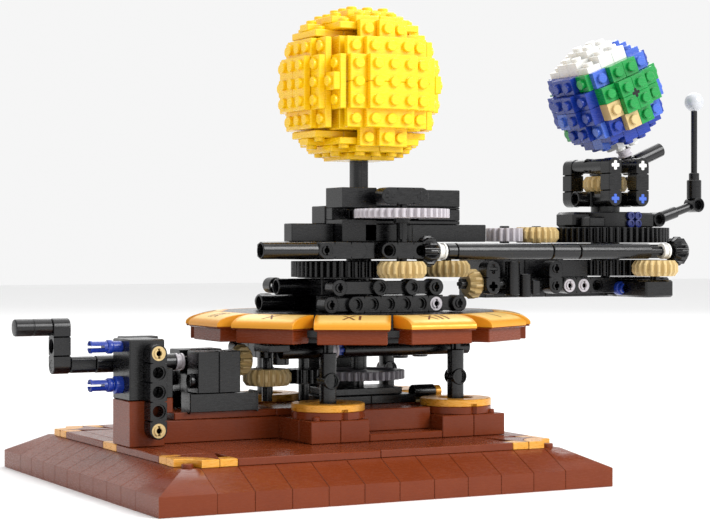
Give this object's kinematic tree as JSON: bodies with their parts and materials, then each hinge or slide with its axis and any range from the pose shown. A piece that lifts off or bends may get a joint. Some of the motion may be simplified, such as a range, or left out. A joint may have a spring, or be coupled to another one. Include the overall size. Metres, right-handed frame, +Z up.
{
  "type": "orrery",
  "caption": "Hand-cranked brick-built orrery: a square stepped base, a month dial, a geared turning arm, a sun on the axis and an earth with its moon at the end of the arm.",
  "frame": {"origin": "on the sun's axis, at the underside of the base", "axes": "+X along the turning arm at rest, towards the earth; +Y from the front of the base to its back; +Z up"},
  "size_m": [0.3567, 0.192, 0.2106],
  "materials": {
    "black": "moulded ABS, glossy",
    "brown": "moulded ABS, reddish brown, glossy",
    "gold": "moulded ABS with a pearl gold pigment",
    "printed_gold": "brown moulded ABS with a pad-printed gold top",
    "tan": "moulded ABS, tan",
    "light_grey": "moulded ABS, light grey",
    "dark_grey": "moulded ABS, mid grey",
    "yellow": "moulded ABS, bright yellow, glossy",
    "blue": "moulded ABS, blue, with green, white and tan bricks"
  },
  "bodies": {
    "base": {"base": "brown", "corner_trim_1": "gold", "corner_trim_2": "gold", "corner_trim_3": "gold", "corner_trim_4": "gold", "plinth": "brown", "foot_ring_1": "gold", "foot_ring_2": "gold", "foot_ring_3": "gold", "foot_ring_4": "gold", "post_1": "black", "post_2": "black", "post_3": "black", "post_4": "black", "dial_plate": "brown", "month_tile_1": "printed_gold", "month_tile_2": "printed_gold", "month_tile_3": "printed_gold", "month_tile_4": "printed_gold", "month_tile_5": "printed_gold", "month_tile_6": "printed_gold", "month_tile_7": "printed_gold", "month_tile_8": "printed_gold", "month_tile_9": "printed_gold", "month_tile_10": "printed_gold", "month_tile_11": "printed_gold", "month_tile_12": "printed_gold", "fixed_frame": "black", "fixed_turntable": "black", "bracket_front": "black", "bracket_rear": "black", "gearbox_left": "black", "gearbox_rear": "black"},
    "carriage": {"tower_lower": "black", "tower_upper": "black", "arm_frame": "black"},
    "crank": {"crank_shaft": "black", "crank_arm": "black", "crank_handle": "black", "crank_bevel": "tan"},
    "idler_20t": {"idler_20t": "tan"},
    "idler_16t": {"idler_16t": "black"},
    "sun": {"central_gear_40t": "dark_grey", "central_shaft": "black", "sun_ball": "yellow"},
    "planet": {"planet_pinion": "tan", "planet_gear_40t": "light_grey"},
    "front_shaft": {"front_shaft": "black"},
    "tail_pinion": {"tail_pinion": "tan"},
    "arm_pinion": {"arm_pinion": "tan"},
    "arm_shaft": {"arm_shaft": "tan"},
    "top_gear_16t": {"top_gear_16t": "light_grey"},
    "top_gear_20t": {"top_gear_20t": "tan"},
    "moon": {"moon_turntable": "black", "moon_arm": "black", "moon_ball": "light_grey"},
    "earth_stand": {"earth_stand": "black"},
    "earth_drive": {"earth_drive": "tan"},
    "earth": {"earth_axle": "light_grey", "earth_ball": "blue"}
  },
  "joints": [
    {"name": "carriage_turn", "type": "hinge", "parent": "base", "child": "carriage", "pos_m": [0, 0, 0.0925], "axis": [0, 0, 1], "continuous": true},
    {"name": "crank_turn", "type": "hinge", "parent": "base", "child": "crank", "pos_m": [-0.142, 0, 0.0528], "axis": [1, 0, 0], "continuous": true},
    {"name": "idler_20t_turn", "type": "hinge", "parent": "base", "child": "idler_20t", "pos_m": [-0.046, 0, 0.0448], "axis": [0, 0, 1], "continuous": true},
    {"name": "idler_16t_turn", "type": "hinge", "parent": "base", "child": "idler_16t", "pos_m": [-0.028, 0, 0.0448], "axis": [0, 0, 1], "continuous": true},
    {"name": "sun_turn", "type": "hinge", "parent": "base", "child": "sun", "pos_m": [0, 0, 0.0448], "axis": [0, 0, 1], "continuous": true},
    {"name": "planet_turn", "type": "hinge", "parent": "carriage", "child": "planet", "pos_m": [0, -0.04, 0.0925], "axis": [0, 0, 1], "continuous": true},
    {"name": "front_shaft_turn", "type": "hinge", "parent": "carriage", "child": "front_shaft", "pos_m": [0.0127, -0.04, 0.1005], "axis": [1, 0, 0], "continuous": true},
    {"name": "tail_pinion_turn", "type": "hinge", "parent": "carriage", "child": "tail_pinion", "pos_m": [0.136, -0.04, 0.0925], "axis": [0, 0, 1], "continuous": true},
    {"name": "arm_pinion_turn", "type": "hinge", "parent": "carriage", "child": "arm_pinion", "pos_m": [0.03666, -0.016, 0.0925], "axis": [0, 0, 1], "continuous": true},
    {"name": "arm_shaft_turn", "type": "hinge", "parent": "carriage", "child": "arm_shaft", "pos_m": [0.05036, -0.016, 0.0855], "axis": [1, 0, 0], "continuous": true},
    {"name": "top_gear_16t_turn", "type": "hinge", "parent": "carriage", "child": "top_gear_16t", "pos_m": [0.078, 0, 0.1082], "axis": [0, 0, 1], "continuous": true},
    {"name": "top_gear_20t_turn", "type": "hinge", "parent": "carriage", "child": "top_gear_20t", "pos_m": [0.096, 0, 0.1082], "axis": [0, 0, 1], "continuous": true},
    {"name": "moon_orbit", "type": "hinge", "parent": "carriage", "child": "moon", "pos_m": [0.136, 0, 0.1082], "axis": [0, 0, 1], "continuous": true},
    {"name": "earth_stand_turn", "type": "hinge", "parent": "carriage", "child": "earth_stand", "pos_m": [0.136, 0, 0.0925], "axis": [0, 0, 1], "continuous": true},
    {"name": "earth_drive_turn", "type": "hinge", "parent": "earth_stand", "child": "earth_drive", "pos_m": [0.136, 0, 0.133], "axis": [0, 0, 1], "continuous": true},
    {"name": "earth_spin", "type": "hinge", "parent": "earth_stand", "child": "earth", "pos_m": [0.136, 0, 0.176], "axis": [-0.3827, 0, 0.9239], "continuous": true}
  ],
  "couplings": [
    {"joint": "crank_turn", "follows": "carriage_turn", "ratio": 6.6667},
    {"joint": "idler_20t_turn", "follows": "carriage_turn", "ratio": -4},
    {"joint": "idler_16t_turn", "follows": "carriage_turn", "ratio": 5},
    {"joint": "sun_turn", "follows": "carriage_turn", "ratio": -2},
    {"joint": "planet_turn", "follows": "carriage_turn", "ratio": 3},
    {"joint": "front_shaft_turn", "follows": "carriage_turn", "ratio": 5},
    {"joint": "tail_pinion_turn", "follows": "carriage_turn", "ratio": 3},
    {"joint": "arm_pinion_turn", "follows": "carriage_turn", "ratio": 3},
    {"joint": "arm_shaft_turn", "follows": "carriage_turn", "ratio": -5},
    {"joint": "top_gear_16t_turn", "follows": "carriage_turn", "ratio": 5},
    {"joint": "top_gear_20t_turn", "follows": "carriage_turn", "ratio": -4},
    {"joint": "moon_orbit", "follows": "carriage_turn", "ratio": 1.3333},
    {"joint": "earth_stand_turn", "follows": "carriage_turn", "ratio": -1},
    {"joint": "earth_drive_turn", "follows": "carriage_turn", "ratio": 6},
    {"joint": "earth_spin", "follows": "carriage_turn", "ratio": 6}
  ]
}
